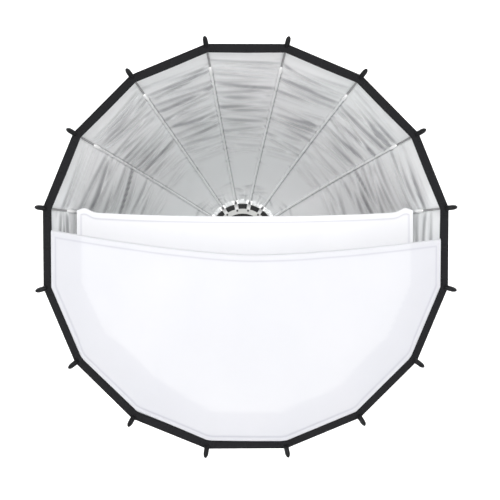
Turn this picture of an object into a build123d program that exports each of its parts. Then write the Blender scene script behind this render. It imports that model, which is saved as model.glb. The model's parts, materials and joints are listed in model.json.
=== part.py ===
from build123d import *
import os
from math import atan, cos, degrees, pi, radians, sin, sqrt

# A folding parabolic umbrella reflector, in millimetres. Sixteen ribs hinge on a round hub and hold a
# deep canopy open, and two fabric diffusers hang in its mouth with their upper halves let down.
# The light's axis is the Y axis and the mouth faces -Y. The origin is on the light's seat, behind the hub.
# A place near a rib is (radius from the axis, depth in front of the seat), so its Y is minus the depth.

# ---- driving dimensions ----
RIB_COUNT = 16
RIM_CORNER_R = 450.0  # the rim's outer corners: the reflector is 900 mm across
PIVOT_R = 85.0
PIVOT_DEPTH = 22.0
CANOPY_DEPTH = 560.0  # from the pivots to the rim
BAND_W = 19.0  # hook-and-loop band round the rim
BAND_T = 2.0
ROD_R = 2.25
CANOPY_T = 1.6
SOFT_GAP = 0.4  # rod to canopy
BODY_GAP = 0.3  # between soft pieces on different bodies
FOLD_DEG = 32.7  # each rib's swing from open to folded
TAB_DEPTH = 450.0  # diffuser tabs, in front of the pivots
HUB_R = 90.0
SPIGOT_R = 49.0
LAMP_BORE_R = 45.0

# ---- worked out from them ----
STEP_DEG = 360.0 / RIB_COUNT
HALF_DEG = STEP_DEG / 2
HALF_COS = cos(radians(HALF_DEG))
RIM_DEPTH = PIVOT_DEPTH + CANOPY_DEPTH
ROD_RIM_R = RIM_CORNER_R - 5.0  # the rod's centre where it passes the rim
PARABOLA = (ROD_RIM_R**2 - PIVOT_R**2) / CANOPY_DEPTH  # radius squared gained per mm of depth
BAND_FRONT = RIM_DEPTH + BAND_T
RIM_APOTHEM = RIM_CORNER_R * HALF_COS
ROD_LEAN = degrees(atan(2 * PIVOT_R / PARABOLA))  # the rod's first direction, forward of radial
CURVE_ARCS = 10
CURVE_CROWDING = 1.7  # above 1, the arcs are shorter near the hub, where the rib bends most


def rib_angle(number):
    """Rib 1 stands 11.25 degrees above +X, and the rest follow counterclockwise seen from the mouth."""
    return HALF_DEG + (number - 1) * STEP_DEG


def turned(shape, angle_deg):
    """A shape made on the +X side, carried round the light's axis."""
    return Rot(0, -angle_deg, 0) * shape


def round_the_axis(shape, angles):
    return Compound([turned(shape, angle) for angle in angles])


def rib_angles():
    return [rib_angle(number) for number in range(1, RIB_COUNT + 1)]


def tube_about_axis(outer_r, inner_r, depth_0, depth_1):
    """A ring about the light's axis between two depths."""
    disc = Circle(outer_r) - Circle(inner_r)
    return extrude(Plane((0, -depth_0, 0), z_dir=(0, -1, 0)) * disc, depth_1 - depth_0)


def rod_radius(depth):
    """The rod's distance from the axis, for a depth in front of the pivots."""
    return sqrt(PARABOLA * depth + PIVOT_R**2)


def curve_point(depth, scale=1.0, out=0.0):
    """A point of the rib's curve in the XY plane, with its radii scaled, moved out along its normal."""
    radius = scale * rod_radius(depth)
    slope = scale * PARABOLA / 2 / rod_radius(depth)
    steep = sqrt(1 + slope**2)
    return Vector(radius + out / steep, -(PIVOT_DEPTH + depth - out * slope / steep))


def curve_arcs(start, end, scale=1.0, out=0.0):
    """The rib's curve between two depths in front of the pivots, as arcs tangent to one another."""
    slope = scale * PARABOLA / 2 / rod_radius(start)
    at, way = curve_point(start, scale, out), Vector(slope, -1)
    edges = []
    for step in range(1, CURVE_ARCS + 1):
        depth = start + (end - start) * (step / CURVE_ARCS) ** CURVE_CROWDING
        edges.append(TangentArc(at, curve_point(depth, scale, out), tangent=way))
        at, way = edges[-1] @ 1, edges[-1] % 1
    return edges


# ---- brackets: a bell crank with a channel for the rod and a heel for the runner ----
BRACKET_W = 9.9
BRACKET_LENGTH = 13.5
BRACKET_HALF = 4.0
BARREL_R = 4.5
CHANNEL_W = 4.7
CHANNEL_START = 6.3
HEEL_LENGTH = 12.0
HEEL_ROOT_HALF = 3.5
HEEL_NECK_HALF = 1.2
NOSE_R = 1.8
HEEL_DEG = FOLD_DEG / 2  # the heel stands this far forward when open, and as far back when folded
PIN_R = 1.5
PIN_HOLE_R = 1.55
PIN_LENGTH = 18.0

PIVOT = Vector(PIVOT_R, -PIVOT_DEPTH)
ROD_WAY = Vector(cos(radians(ROD_LEAN)), -sin(radians(ROD_LEAN)))
ROD_SIDE = Vector(-sin(radians(ROD_LEAN)), -cos(radians(ROD_LEAN)))
HEEL_WAY = Vector(-cos(radians(HEEL_DEG)), -sin(radians(HEEL_DEG)))
HEEL_SIDE = Vector(sin(radians(HEEL_DEG)), -cos(radians(HEEL_DEG)))
NOSE = PIVOT + HEEL_WAY * HEEL_LENGTH
NOSE_DEPTH = -NOSE.Y
RUNNER_TRAVEL = 2 * HEEL_LENGTH * sin(radians(HEEL_DEG))


def strip(start, way, side, length, half_start, half_end):
    """A flat tapered bar's outline, from a start point along a direction."""
    end = start + way * length
    corners = [start - side * half_start, end - side * half_end]
    corners += [end + side * half_end, start + side * half_start]
    return make_face(Polyline(*corners, close=True))


def rib_bracket():
    arm = strip(PIVOT, ROD_WAY, ROD_SIDE, BRACKET_LENGTH, BRACKET_HALF, BRACKET_HALF)
    heel = strip(PIVOT, HEEL_WAY, HEEL_SIDE, HEEL_LENGTH, HEEL_ROOT_HALF, HEEL_NECK_HALF)
    outline = arm + heel + Pos(PIVOT) * Circle(BARREL_R) + Pos(NOSE) * Circle(NOSE_R)
    body = extrude(outline, BRACKET_W / 2, both=True)
    channel_at = PIVOT + ROD_WAY * CHANNEL_START - ROD_SIDE * (ROD_R + SOFT_GAP)
    reach = 2 * BRACKET_LENGTH
    corners = [channel_at, channel_at + ROD_WAY * reach]
    corners += [corners[1] + ROD_SIDE * reach, channel_at + ROD_SIDE * reach]
    channel = extrude(make_face(Polyline(*corners, close=True)), CHANNEL_W / 2, both=True)
    pin_hole = Pos(PIVOT) * Cylinder(PIN_HOLE_R, 2 * BRACKET_W)
    return body - channel - pin_hole


# ---- ribs: the rod, the cap on its tip and the tab that holds the inner diffuser ----
ROD_START = 3.0  # in front of the pivots
ROD_IN_CAP = 30.0
CAP_LENGTH = 42.0
CAP_STRAIGHT = 27.0
CAP_R = 4.6
CAP_POINT_R = 1.0
CAP_BORE_R = 2.3
CAP_FROM_RIM = 4.4  # along the rod, so that the cap's edge clears the band
TAB_LENGTH = 30.0
TAB_R = 3.6


def rod_path():
    edges = curve_arcs(ROD_START, CANOPY_DEPTH)
    tip = edges[-1] @ 1
    edges.append(Line(tip, tip + (edges[-1] % 1) * (CAP_FROM_RIM + ROD_IN_CAP)))
    return edges


ROD_EDGES = rod_path()
RIM_POINT = ROD_EDGES[-1] @ 0
TIP_WAY = ROD_EDGES[-1] % 1


def rod():
    path = Wire(ROD_EDGES)
    section = Plane(origin=path @ 0, z_dir=path % 0) * Circle(ROD_R)
    return sweep(section, path=path)


def tip_cap():
    """A blind cap with a pointed end, open towards the rim."""
    along = (Align.CENTER, Align.CENTER, Align.MIN)
    point_length = CAP_LENGTH - CAP_STRAIGHT
    body = Cylinder(CAP_R, CAP_STRAIGHT, align=along)
    body += Pos(0, 0, CAP_STRAIGHT) * Cone(CAP_R, CAP_POINT_R, point_length, align=along)
    body -= Cylinder(CAP_BORE_R, ROD_IN_CAP + SOFT_GAP, align=along)
    return Plane(origin=RIM_POINT + TIP_WAY * CAP_FROM_RIM, z_dir=TIP_WAY) * body


def diffuser_tab():
    """A half sleeve on the rod's inner side, which the inner diffuser's corner hooks on."""
    here = curve_point(TAB_DEPTH)
    way = curve_point(TAB_DEPTH + 1) - here
    sleeve = Cylinder(TAB_R, TAB_LENGTH) - Cylinder(CAP_BORE_R, TAB_LENGTH)
    inner_side = Pos(-TAB_R, 0, 0) * Box(2 * TAB_R, 2 * TAB_R, TAB_LENGTH)
    return Plane(origin=here, x_dir=(-way.Y, way.X, 0), z_dir=way) * (sleeve & inner_side)


# ---- canopy: one gore on each rib, reaching half way to the ribs beside it ----
GORE_START = 8.5
GORE_END = CANOPY_DEPTH + 6.0  # past the rim, and cut back to it
WEDGE_REACH = 2 * RIM_CORNER_R


def half_gore():
    """The canopy and band from a rib's plane to 0.15 mm short of the half-way plane at +11.25 degrees."""
    inner = curve_arcs(GORE_START, GORE_END, HALF_COS, ROD_R + SOFT_GAP)
    outer = curve_arcs(GORE_START, GORE_END, HALF_COS, ROD_R + SOFT_GAP + CANOPY_T)
    ends = [Line(inner[0] @ 0, outer[0] @ 0), Line(inner[-1] @ 1, outer[-1] @ 1)]
    section = make_face(Wire([*inner, *outer, *ends]))
    panel = extrude(section, RIM_CORNER_R / 2, both=True)
    ahead = (Align.CENTER, Align.MAX, Align.CENTER)
    cut_front = Pos(0, -RIM_DEPTH, 0) * Box(WEDGE_REACH, BAND_W, WEDGE_REACH, align=ahead)
    band = Pos(RIM_APOTHEM - BAND_W / 2, -RIM_DEPTH - BAND_T / 2, 0) * Box(BAND_W, BAND_T, RIM_CORNER_R)
    reach_z = WEDGE_REACH * sin(radians(HALF_DEG)) / HALF_COS
    apex = BODY_GAP / 2 * HALF_COS / sin(radians(HALF_DEG))
    corners = [(apex, -BODY_GAP / 2), (WEDGE_REACH, -BODY_GAP / 2), (WEDGE_REACH, -reach_z)]
    wedge = extrude(Plane.XZ * make_face(Polyline(*corners, close=True)), WEDGE_REACH)
    half = ((panel - cut_front) + band) & wedge
    return turned(half, HALF_DEG)


def canopy_gore():
    half = half_gore()
    rod_hole = Plane(origin=RIM_POINT, z_dir=TIP_WAY) * Cylinder(ROD_R + SOFT_GAP, BAND_W)
    return half + mirror(half, about=Plane.XY) - rod_hole


# ---- hub: a channel-shaped ring, open at the back, with a slot for each bracket ----
BODY_BACK = 6.0
PLATE_BACK = 30.0
PLATE_FRONT = 33.0
INNER_TUBE_R = 63.0
BODY_BORE_R = 58.0
OUTER_WALL_R = 80.0
SLOT_W = 10.6
SLOT_START_R = 76.0
SLOT_BACK = 16.0
COVER_IN_R = 64.0
COVER_OUT_R = 77.0
COVER_T = 3.0
COVER_SCREW_R = 73.0
M3_R = 1.45
M3_HOLE_R = 1.5
M3_HEAD_R = 2.6
M3_HEAD_T = 1.6
M4_R = 1.95
M4_HOLE_R = 2.0
M4_HEAD_R = 3.6
M4_HEAD_T = 2.6
M4_LENGTH = 12.0
ADAPTER_SCREW_ANGLES = (45.0, 135.0, 225.0, 315.0)
BUTTON_ANGLES = {"right": 0.0, "left": 180.0}
BUTTON_DEPTH = 13.3
BUTTON_TRAVEL = 2.5
BUTTON_CAP_R = 6.5
BUTTON_STEM_R = 3.0
BUTTON_WELL_R = 6.9
BUTTON_WELL_FLOOR = 84.0
BUTTON_STEM_HOLE_R = 3.08


def radial_cylinder(radius, start_r, end_r, depth):
    """A round bar pointing out along +X, at a depth in front of the seat."""
    along = (Align.CENTER, Align.CENTER, Align.MIN)
    return Plane(origin=(start_r, -depth, 0), z_dir=(1, 0, 0)) * Cylinder(radius, end_r - start_r, align=along)


def axial_cylinder(radius, at_r, depth_0, depth_1):
    """A round bar parallel to the light's axis, at a radius on +X."""
    along = (Align.CENTER, Align.CENTER, Align.MIN)
    return Plane(origin=(at_r, -depth_0, 0), z_dir=(0, -1, 0)) * Cylinder(radius, depth_1 - depth_0, align=along)


def hub_body():
    body = tube_about_axis(HUB_R, BODY_BORE_R, BODY_BACK, PLATE_FRONT)
    body -= tube_about_axis(OUTER_WALL_R, INNER_TUBE_R, BODY_BACK - 1, PLATE_BACK)
    slot_length = HUB_R - SLOT_START_R + 2
    slot_height = PLATE_FRONT - SLOT_BACK + 1
    slot_at = Pos(SLOT_START_R + slot_length / 2, -SLOT_BACK - slot_height / 2, 0)
    slot = slot_at * Box(slot_length, slot_height, SLOT_W)
    pin_hole = Pos(PIVOT) * Cylinder(PIN_R + 0.02, PIN_LENGTH + 0.2)
    screw_hole = axial_cylinder(M3_HOLE_R, COVER_SCREW_R, PLATE_BACK - 1, PLATE_FRONT + 1)
    for angle in rib_angles():
        body -= turned(slot, angle)
        body -= turned(pin_hole, angle)
        body -= turned(screw_hole, angle)
    adapter_hole = axial_cylinder(M4_HOLE_R, PIVOT_R, BODY_BACK - 1, BODY_BACK + M4_LENGTH)
    for angle in ADAPTER_SCREW_ANGLES:
        body -= turned(adapter_hole, angle)
    well = radial_cylinder(BUTTON_WELL_R, BUTTON_WELL_FLOOR, HUB_R + 2, BUTTON_DEPTH)
    well += radial_cylinder(BUTTON_STEM_HOLE_R, OUTER_WALL_R - 2, HUB_R, BUTTON_DEPTH)
    for angle in BUTTON_ANGLES.values():
        body -= turned(well, angle)
    return body


def cover_ring():
    ring = tube_about_axis(COVER_OUT_R, COVER_IN_R, PLATE_FRONT, PLATE_FRONT + COVER_T)
    hole = axial_cylinder(M3_HOLE_R + 0.2, COVER_SCREW_R, PLATE_FRONT - 1, PLATE_FRONT + COVER_T + 1)
    for angle in rib_angles():
        ring -= turned(hole, angle)
    return ring


def cover_screws():
    head_back = PLATE_FRONT + COVER_T
    screw = axial_cylinder(M3_R, COVER_SCREW_R, PLATE_BACK + 0.2, head_back)
    screw += axial_cylinder(M3_HEAD_R, COVER_SCREW_R, head_back, head_back + M3_HEAD_T)
    return round_the_axis(screw, rib_angles())


def hinge_pins():
    return round_the_axis(Pos(PIVOT) * Cylinder(PIN_R, PIN_LENGTH), rib_angles())


# ---- adapter: flange, collar, spigot and three lugs ----
FLANGE_BACK = 0.0
COLLAR_OUT_R = 57.9
COLLAR_IN_R = 52.0
COLLAR_FRONT = 20.0
SPIGOT_LENGTH = 12.0
LUG_R = 52.0
LUG_T = 3.0
LUG_DEG = 24.0
LUG_ANGLES = (90.0, 210.0, 330.0)


def adapter_plate():
    plate = tube_about_axis(HUB_R, LAMP_BORE_R, FLANGE_BACK, BODY_BACK)
    plate += tube_about_axis(COLLAR_OUT_R, COLLAR_IN_R, BODY_BACK, COLLAR_FRONT)
    plate += tube_about_axis(SPIGOT_R, LAMP_BORE_R, -SPIGOT_LENGTH, FLANGE_BACK)
    lug_ring = tube_about_axis(LUG_R, SPIGOT_R - 1, -SPIGOT_LENGTH, LUG_T - SPIGOT_LENGTH)
    reach = 2 * LUG_R
    half = reach * sin(radians(LUG_DEG / 2)) / cos(radians(LUG_DEG / 2))
    triangle = make_face(Polyline((0, 0), (reach, half), (reach, -half), close=True))
    sector = extrude(Plane.XZ * triangle, reach, both=True)
    for angle in LUG_ANGLES:
        plate += lug_ring & turned(sector, angle)
    recess = axial_cylinder(M4_HEAD_R + 0.3, PIVOT_R, FLANGE_BACK - 1, FLANGE_BACK + M4_HEAD_T + 0.2)
    recess += axial_cylinder(M4_HOLE_R + 0.2, PIVOT_R, FLANGE_BACK, BODY_BACK + 1)
    for angle in ADAPTER_SCREW_ANGLES:
        plate -= turned(recess, angle)
    return plate


def adapter_screws():
    head_back = FLANGE_BACK + 0.2
    screw = axial_cylinder(M4_HEAD_R, PIVOT_R, head_back, head_back + M4_HEAD_T)
    screw += axial_cylinder(M4_R, PIVOT_R, head_back, BODY_BACK + M4_LENGTH - 0.5)
    return round_the_axis(screw, ADAPTER_SCREW_ANGLES)


# ---- runner: the ring that the sixteen heels drive, so that all ribs fold together ----
RUNNER_GAP = 0.3
RUNNER_SLEEVE_R = 69.5
RUNNER_LIP_R = 74.2
RUNNER_LIP_T = 2.4


def runner_ring():
    groove_half = NOSE_R + RUNNER_GAP
    back = NOSE_DEPTH - groove_half - RUNNER_LIP_T
    front = NOSE_DEPTH + groove_half + RUNNER_LIP_T
    ring = tube_about_axis(RUNNER_LIP_R, INNER_TUBE_R + RUNNER_GAP, back, front)
    ring -= tube_about_axis(HUB_R, RUNNER_SLEEVE_R, NOSE_DEPTH - groove_half, NOSE_DEPTH + groove_half)
    return ring


# ---- release buttons, one at each side of the hub ----
BUTTON_CAP_BACK_R = 91.5
BUTTON_CAP_END_R = 96.0
BUTTON_COLLAR_R = 4.2
BUTTON_COLLAR_T = 2.0
SPRING_OUT_R = 5.4
SPRING_IN_R = 3.4


def release_button(angle):
    collar_end = OUTER_WALL_R - 0.4
    button = radial_cylinder(BUTTON_CAP_R, BUTTON_CAP_BACK_R, BUTTON_CAP_END_R, BUTTON_DEPTH)
    button += radial_cylinder(BUTTON_STEM_R, collar_end - BUTTON_COLLAR_T, BUTTON_CAP_BACK_R, BUTTON_DEPTH)
    button += radial_cylinder(BUTTON_COLLAR_R, collar_end - BUTTON_COLLAR_T, collar_end, BUTTON_DEPTH)
    return turned(button, angle)


def button_springs():
    start = BUTTON_WELL_FLOOR + 0.1
    end = BUTTON_CAP_BACK_R - 0.1
    spring = radial_cylinder(SPRING_OUT_R, start, end, BUTTON_DEPTH)
    spring -= radial_cylinder(SPRING_IN_R, start - 1, end + 1, BUTTON_DEPTH)
    return round_the_axis(spring, BUTTON_ANGLES.values())


# ---- diffusers: sixteen-sided sheets, each folded down near its middle with the flap behind ----
INNER_CORNER_R = 390.0
INNER_FRONT = PIVOT_DEPTH + TAB_DEPTH
INNER_SHEET_T = 6.0
INNER_FLAP_T = 8.0
INNER_EDGE_MID_Z = 66.0
OUTER_CORNER_R = 432.0
OUTER_FLAP_CORNER_R = 416.0
OUTER_SHEET_T = 4.0
OUTER_FLAP_T = 14.0
OUTER_EDGE_END_Z = 30.0
OUTER_EDGE_MID_Z = -14.0


def lower_outline(corner_r, angles, end, middle_z):
    """The lower part of a sixteen-sided sheet, under a sagging top edge that ends at (+-end x, end z)."""
    corners = [(corner_r * cos(radians(a)), corner_r * sin(radians(a))) for a in angles]
    left = (-end[0], end[1])
    top = ThreePointArc(end, (0, middle_z), left)
    return make_face(Wire([top, *Polyline(left, *corners, end).edges()]))


def standing_sheet(outline, depth_0, depth_1):
    """A flat sheet square to the light's axis. Its outline's x and y are the frame's X and Z."""
    return Pos(0, -depth_0, 0) * extrude(Plane.XZ * outline, depth_1 - depth_0)


def inner_diffuser():
    end = (INNER_CORNER_R * HALF_COS, INNER_CORNER_R * sin(radians(HALF_DEG)))
    angles = [rib_angle(number) for number in range(9, 17)]
    outline = lower_outline(INNER_CORNER_R, angles, end, INNER_EDGE_MID_Z)
    return standing_sheet(outline, INNER_FRONT - INNER_SHEET_T - INNER_FLAP_T, INNER_FRONT)


def outer_diffuser():
    angles = [rib_angle(number) for number in range(9, 17)]
    sheet_end = (OUTER_CORNER_R * HALF_COS, OUTER_EDGE_END_Z)
    flap_end = (OUTER_FLAP_CORNER_R * HALF_COS, OUTER_EDGE_END_Z)
    back = BAND_FRONT + BODY_GAP
    sheet = lower_outline(OUTER_CORNER_R, angles, sheet_end, OUTER_EDGE_MID_Z)
    flap = lower_outline(OUTER_FLAP_CORNER_R, angles, flap_end, OUTER_EDGE_MID_Z)
    return standing_sheet(sheet, back, back + OUTER_SHEET_T) + standing_sheet(flap, back - OUTER_FLAP_T, back)


# ---- write each node ----
def all_nodes():
    nodes = {
        "hub_body": hub_body(),
        "cover_ring": cover_ring(),
        "cover_screws": cover_screws(),
        "hinge_pins": hinge_pins(),
        "adapter_plate": adapter_plate(),
        "adapter_screws": adapter_screws(),
        "runner_ring": runner_ring(),
        "button_springs": button_springs(),
        "inner_diffuser": inner_diffuser(),
        "outer_diffuser": outer_diffuser(),
    }
    for side, angle in BUTTON_ANGLES.items():
        nodes[f"release_button_{side}"] = release_button(angle)
    bracket = rib_bracket()
    rib = Compound([rod(), tip_cap(), diffuser_tab()])
    gore = canopy_gore()
    for number in range(1, RIB_COUNT + 1):
        angle = rib_angle(number)
        nodes[f"rib_{number:02d}"] = turned(rib, angle)
        nodes[f"rib_bracket_{number:02d}"] = turned(bracket, angle)
        nodes[f"canopy_gore_{number:02d}"] = turned(gore, angle)
    return nodes


os.makedirs("parts", exist_ok=True)
for name, shape in all_nodes().items():
    export_step(shape, f"parts/{name}.step")
rod_length = sum(edge.length for edge in ROD_EDGES)
print(f"rod: {rod_length:.1f} mm long, volume by section {rod_length * pi * ROD_R**2:.0f} mm3")
print(f"runner travel {RUNNER_TRAVEL:.3f} mm, rod lean {ROD_LEAN:.2f} degrees")
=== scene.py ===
import json
import math
import random

import bpy
import numpy as np
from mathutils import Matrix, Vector


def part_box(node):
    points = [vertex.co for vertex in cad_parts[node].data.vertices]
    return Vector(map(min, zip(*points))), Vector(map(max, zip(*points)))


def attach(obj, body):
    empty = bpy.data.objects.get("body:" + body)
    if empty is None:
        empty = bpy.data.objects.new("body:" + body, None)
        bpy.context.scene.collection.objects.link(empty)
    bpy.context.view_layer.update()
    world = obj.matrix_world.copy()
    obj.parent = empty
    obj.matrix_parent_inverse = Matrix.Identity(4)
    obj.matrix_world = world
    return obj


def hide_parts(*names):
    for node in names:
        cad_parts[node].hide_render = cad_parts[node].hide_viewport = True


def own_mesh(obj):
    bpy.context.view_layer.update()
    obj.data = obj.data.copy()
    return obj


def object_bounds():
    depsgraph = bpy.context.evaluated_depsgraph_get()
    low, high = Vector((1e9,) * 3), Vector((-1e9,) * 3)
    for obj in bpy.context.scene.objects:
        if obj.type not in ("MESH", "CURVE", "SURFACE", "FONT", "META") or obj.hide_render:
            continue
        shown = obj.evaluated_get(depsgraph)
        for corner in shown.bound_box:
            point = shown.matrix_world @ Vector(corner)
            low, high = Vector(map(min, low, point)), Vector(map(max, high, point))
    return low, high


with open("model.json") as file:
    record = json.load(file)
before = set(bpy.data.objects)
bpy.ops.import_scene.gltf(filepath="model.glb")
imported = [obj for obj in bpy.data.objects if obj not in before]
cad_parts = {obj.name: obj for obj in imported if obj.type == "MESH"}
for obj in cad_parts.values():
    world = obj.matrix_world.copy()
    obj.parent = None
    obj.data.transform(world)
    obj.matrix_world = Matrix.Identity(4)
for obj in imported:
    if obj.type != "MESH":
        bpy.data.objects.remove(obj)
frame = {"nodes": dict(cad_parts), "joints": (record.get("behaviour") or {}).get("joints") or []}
cad_low, cad_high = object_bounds()

# A deep sixteen-rib reflector whose mouth faces -Y. A place near a rib is (r, t, depth): its distance from
# the light's axis in the rib's plane, its distance sideways from that plane, and how far it is in front of
# the light's seat. Everything is in metres, and whatever size the CAD has is read from the frame.

# ---- sizes of the rim, ribs and joints ----
JOINTS = {joint["name"]: joint for joint in frame["joints"]}
FIRST_FOLD = JOINTS["rib_01_fold"]
RIB_COUNT = sum(name.startswith("rib_") and name.endswith("_fold") for name in JOINTS)
FOLD = math.radians(FIRST_FOLD["range_deg"][1])
HALF = math.pi / RIB_COUNT
PIVOT_R = math.hypot(FIRST_FOLD["pos_m"][0], FIRST_FOLD["pos_m"][2])
PIVOT_DEPTH = -FIRST_FOLD["pos_m"][1]
BAND_T = 0.002
BAND_FRONT = -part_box("canopy_gore_04")[0].y
RIM_DEPTH = BAND_FRONT - BAND_T
RIM_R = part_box("canopy_gore_04")[1].z / math.cos(HALF)
ROD_RIM_R = RIM_R - 0.005  # a rod's centre, where it passes the rim
PARABOLA = (ROD_RIM_R**2 - PIVOT_R**2) / (RIM_DEPTH - PIVOT_DEPTH)
ROD_R = 0.00225

# ---- sizes of the cloth ----
BAND_W = 0.019
CANOPY_START_R = 0.100
LINING_OUT = 0.0025  # the lining's place between ribs, outside the rods' centres
OUTER_OUT = 0.0044  # the outer cloth's
SLEEVE_IN = 0.0031  # the lining's place over a rod, inside its centre
SLEEVE_W = 0.0030
ROW_STEP = 0.0032
FIN_GAP = 0.0022  # half the folded cloth between two ribs
TAB_DEPTH = PIVOT_DEPTH + 0.450  # where the lining's sleeves end and the tabs begin to show
TAB_L = 0.030
SMOOTH_STRIP = 0.070  # taut lining between the rim and the tabs, along the cloth
SLEEVE_END = TAB_DEPTH + 0.1 * TAB_L
SLEEVE_BLEND = 0.0015
TURN_W = 0.006  # the cloth's bend over a rod is spread this far to each side
OUTER_FOLLOWS = 0.9  # the outer cloth's share of the lining's folds

# ---- the lining's painted shade ----
SLOPE_SHADE = 1.35  # at a fold's slope of 1 in 1
FOOT_AT = 1.2 * SLEEVE_W  # the foot of a rod's sleeve
FOOT_W = 0.0010
FOOT_SHADES = (0.8, 0.3)  # on the two sides of a rod
WRINKLED_R = (0.20, 0.34)  # the most wrinkled stretch starts and is complete at these radii
WRINKLED_SHADE = 0.10


# ---- places ----
def rib_angle(number):
    """A rib's turn about the light's axis, from +X towards +Z."""
    return HALF + (number - 1) * 2 * HALF


def rib_axes(number):
    """Unit vectors away from the light's axis and sideways, for a rib."""
    angle = rib_angle(number)
    away = np.array([math.cos(angle), 0, math.sin(angle)])
    side = np.array([-math.sin(angle), 0, math.cos(angle)])
    return away, side


def place(number, r, t, depth):
    """World points for arrays of rib coordinates."""
    away, side = rib_axes(number)
    r, t, depth = np.broadcast_arrays(r, t, depth)
    points = r[..., None] * away + t[..., None] * side
    points[..., 1] = -depth
    return points


def rod_radius(depth):
    """How far a rod's centre is from the light's axis: the ribs are bent to a parabola."""
    return np.sqrt(PARABOLA * (depth - PIVOT_DEPTH) + PIVOT_R**2)


def depth_at_radius(radius):
    """Where on a rib a radius is reached."""
    return PIVOT_DEPTH + (radius**2 - PIVOT_R**2) / PARABOLA


def depths_along_rib(start, end, step):
    """Depths evenly spaced along the rib's curve."""
    fine = np.linspace(start, end, 4000)
    length = np.concatenate([[0], np.cumsum(np.hypot(np.diff(fine), np.diff(rod_radius(fine))))])
    count = max(2, int(round(length[-1] / step)) + 1)
    return np.interp(np.linspace(0, length[-1], count), length, fine), length[-1]


# ---- meshes ----
def new_piece(name, points, faces, materials, face_materials=None, uvs=None, normals=None):
    """A smooth mesh object. uvs holds one pair for each vertex."""
    mesh = bpy.data.meshes.new(name)
    mesh.from_pydata([tuple(p) for p in points], [], [tuple(f) for f in faces])
    for material in materials:
        mesh.materials.append(material)
    if face_materials is not None:
        mesh.polygons.foreach_set("material_index", np.asarray(face_materials, np.int32))
    mesh.polygons.foreach_set("use_smooth", np.ones(len(mesh.polygons), bool))
    if uvs is not None:
        layer = mesh.uv_layers.new(name="cloth")
        corners = np.zeros(len(mesh.loops), np.int32)
        mesh.loops.foreach_get("vertex_index", corners)
        layer.data.foreach_set("uv", np.asarray(uvs, np.float32)[corners].ravel())
    mesh.update()
    if normals is not None:
        mesh.normals_split_custom_set_from_vertices([tuple(n) for n in normals])
    piece = bpy.data.objects.new(name, mesh)
    bpy.context.scene.collection.objects.link(piece)
    return piece


def grid_faces(rows, columns, first=0, flip=False):
    """Quads over a grid of vertices numbered row by row."""
    at = first + np.arange(rows * columns).reshape(rows, columns)
    quads = np.stack([at[:-1, :-1], at[:-1, 1:], at[1:, 1:], at[1:, :-1]], -1).reshape(-1, 4)
    return quads[:, ::-1] if flip else quads


def edge_loop(rows, columns):
    """A grid's outline, as vertex numbers, once round."""
    at = np.arange(rows * columns).reshape(rows, columns)
    return np.concatenate([at[0, :], at[1:, -1], at[-1, -2::-1], at[-2:0:-1, 0]])


def closed_shell(name, front, back, uv, materials, normals=None, shade=None, shade_behind=False):
    """A closed sheet between two grids of points. materials are the front's, and the back's and edge's."""
    rows, columns = front.shape[:2]
    count = rows * columns
    loop = edge_loop(rows, columns)
    after = np.roll(loop, -1)
    walls = np.stack([loop, loop + count, after + count, after], -1)
    front_faces = grid_faces(rows, columns)
    back_faces = grid_faces(rows, columns, count, True)
    faces = np.concatenate([front_faces, back_faces, walls])
    slot_of_face = np.repeat([0, 1], [len(front_faces), len(back_faces) + len(walls)])
    points = np.concatenate([front.reshape(-1, 3), back.reshape(-1, 3)])
    uvs = np.concatenate([uv.reshape(-1, 2)] * 2)
    both = None if normals is None else np.concatenate([side.reshape(-1, 3) for side in normals])
    piece = new_piece(name, points, faces, materials, slot_of_face, uvs, both)
    if shade is not None:
        # Painted shade, and on the diffusers their hem seams, kept on the points for the material to darken
        # by.
        layer = piece.data.attributes.new("painted_shade_and_seam", "FLOAT", "POINT")
        values = np.concatenate([shade.ravel(), shade.ravel() * shade_behind])
        layer.data.foreach_set("value", values.astype(np.float32))
    return piece


def grid_normals(points):
    """Unit normals of a grid, from its neighbours' differences."""
    down = np.gradient(points, axis=0)
    across = np.gradient(points, axis=1)
    normals = np.cross(across, down)
    return normals / np.linalg.norm(normals, axis=-1, keepdims=True)


def surface_of_revolution(name, profile, start, way, materials, sides=24):
    """A closed round piece about a line: profile is (distance along, radius), from point to point."""
    way = Vector(way).normalized()
    across = way.orthogonal().normalized()
    third = way.cross(across)
    points, faces = [], []
    for along, radius in profile:
        for i in range(sides):
            turn = 2 * math.pi * i / sides
            out = across * math.cos(turn) + third * math.sin(turn)
            points.append(Vector(start) + way * along + out * radius)
    for ring in range(len(profile) - 1):
        for i in range(sides):
            a, b = ring * sides + i, ring * sides + (i + 1) % sides
            faces.append((a, b, b + sides, a + sides))
    faces.append(tuple(range(sides))[::-1])
    last = (len(profile) - 1) * sides
    faces.append(tuple(range(last, last + sides)))
    return new_piece(name, points, faces, materials)


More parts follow.
